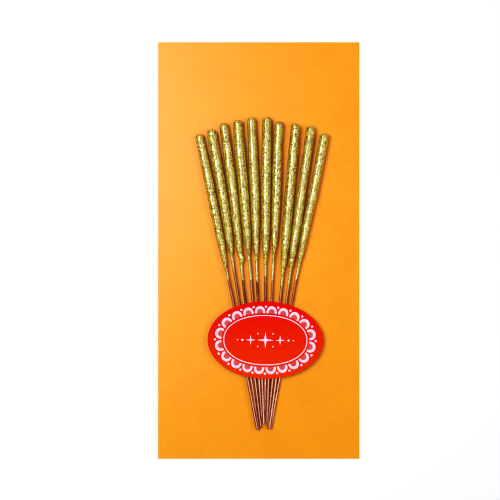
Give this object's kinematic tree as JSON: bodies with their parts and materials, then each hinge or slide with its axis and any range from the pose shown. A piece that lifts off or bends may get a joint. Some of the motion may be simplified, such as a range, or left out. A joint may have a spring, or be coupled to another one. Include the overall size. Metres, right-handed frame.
{
  "type": "carded sparkler pack",
  "caption": "Gold-coated cake sparklers on copper-coloured wires, fanned out on a flat orange backing card and gathered under an oval label; each pulls out along its own wire.",
  "frame": {"origin": "middle of the card's back face, on the surface that the pack lies on", "axes": "the card lies on its back: +X towards the card's right edge, +Y towards its top edge where the sparkler heads point, +Z out of its printed front"},
  "size_m": [0.104, 0.2154, 0.0067],
  "materials": {
    "card": "matt printed board, orange front",
    "label": "satin printed board, red with pale pink",
    "foam": "white closed-cell foam",
    "tape": "clear film",
    "wire": "copper-washed drawn steel wire",
    "coating": "fine-grained metallic gold composition"
  },
  "bodies": {
    "pack": {"backing_card": "card", "oval_label": "label", "label_foam_left": "foam", "label_foam_right": "foam", "wire_tape": "tape"},
    "sparkler_01": {"sparkler_01_wire": "wire", "sparkler_01_coating": "coating"},
    "sparkler_02": {"sparkler_02_wire": "wire", "sparkler_02_coating": "coating"},
    "sparkler_03": {"sparkler_03_wire": "wire", "sparkler_03_coating": "coating"},
    "sparkler_04": {"sparkler_04_wire": "wire", "sparkler_04_coating": "coating"},
    "sparkler_05": {"sparkler_05_wire": "wire", "sparkler_05_coating": "coating"},
    "sparkler_06": {"sparkler_06_wire": "wire", "sparkler_06_coating": "coating"},
    "sparkler_07": {"sparkler_07_wire": "wire", "sparkler_07_coating": "coating"},
    "sparkler_08": {"sparkler_08_wire": "wire", "sparkler_08_coating": "coating"},
    "sparkler_09": {"sparkler_09_wire": "wire", "sparkler_09_coating": "coating"},
    "sparkler_10": {"sparkler_10_wire": "wire", "sparkler_10_coating": "coating"}
  },
  "joints": [
    {"name": "sparkler_01_pull", "type": "slide", "parent": "pack", "child": "sparkler_01", "axis": [-0.1909, 0.9816, 0.0024], "range_m": [0, 0.07]},
    {"name": "sparkler_02_pull", "type": "slide", "parent": "pack", "child": "sparkler_02", "axis": [-0.1542, 0.9879, 0.0148], "range_m": [0, 0.07]},
    {"name": "sparkler_03_pull", "type": "slide", "parent": "pack", "child": "sparkler_03", "axis": [-0.1184, 0.993, 0.0024], "range_m": [0, 0.07]},
    {"name": "sparkler_04_pull", "type": "slide", "parent": "pack", "child": "sparkler_04", "axis": [-0.0821, 0.9965, 0.0148], "range_m": [0, 0.07]},
    {"name": "sparkler_05_pull", "type": "slide", "parent": "pack", "child": "sparkler_05", "axis": [-0.0405, 0.9992, 0.0024], "range_m": [0, 0.07]},
    {"name": "sparkler_06_pull", "type": "slide", "parent": "pack", "child": "sparkler_06", "axis": [0.0044, 0.9999, 0.0148], "range_m": [0, 0.07]},
    {"name": "sparkler_07_pull", "type": "slide", "parent": "pack", "child": "sparkler_07", "axis": [0.0413, 0.9991, 0.0024], "range_m": [0, 0.07]},
    {"name": "sparkler_08_pull", "type": "slide", "parent": "pack", "child": "sparkler_08", "axis": [0.0911, 0.9957, 0.0148], "range_m": [0, 0.07]},
    {"name": "sparkler_09_pull", "type": "slide", "parent": "pack", "child": "sparkler_09", "axis": [0.1358, 0.9907, 0.0024], "range_m": [0, 0.07]},
    {"name": "sparkler_10_pull", "type": "slide", "parent": "pack", "child": "sparkler_10", "axis": [0.1762, 0.9842, 0.0148], "range_m": [0, 0.07]}
  ]
}
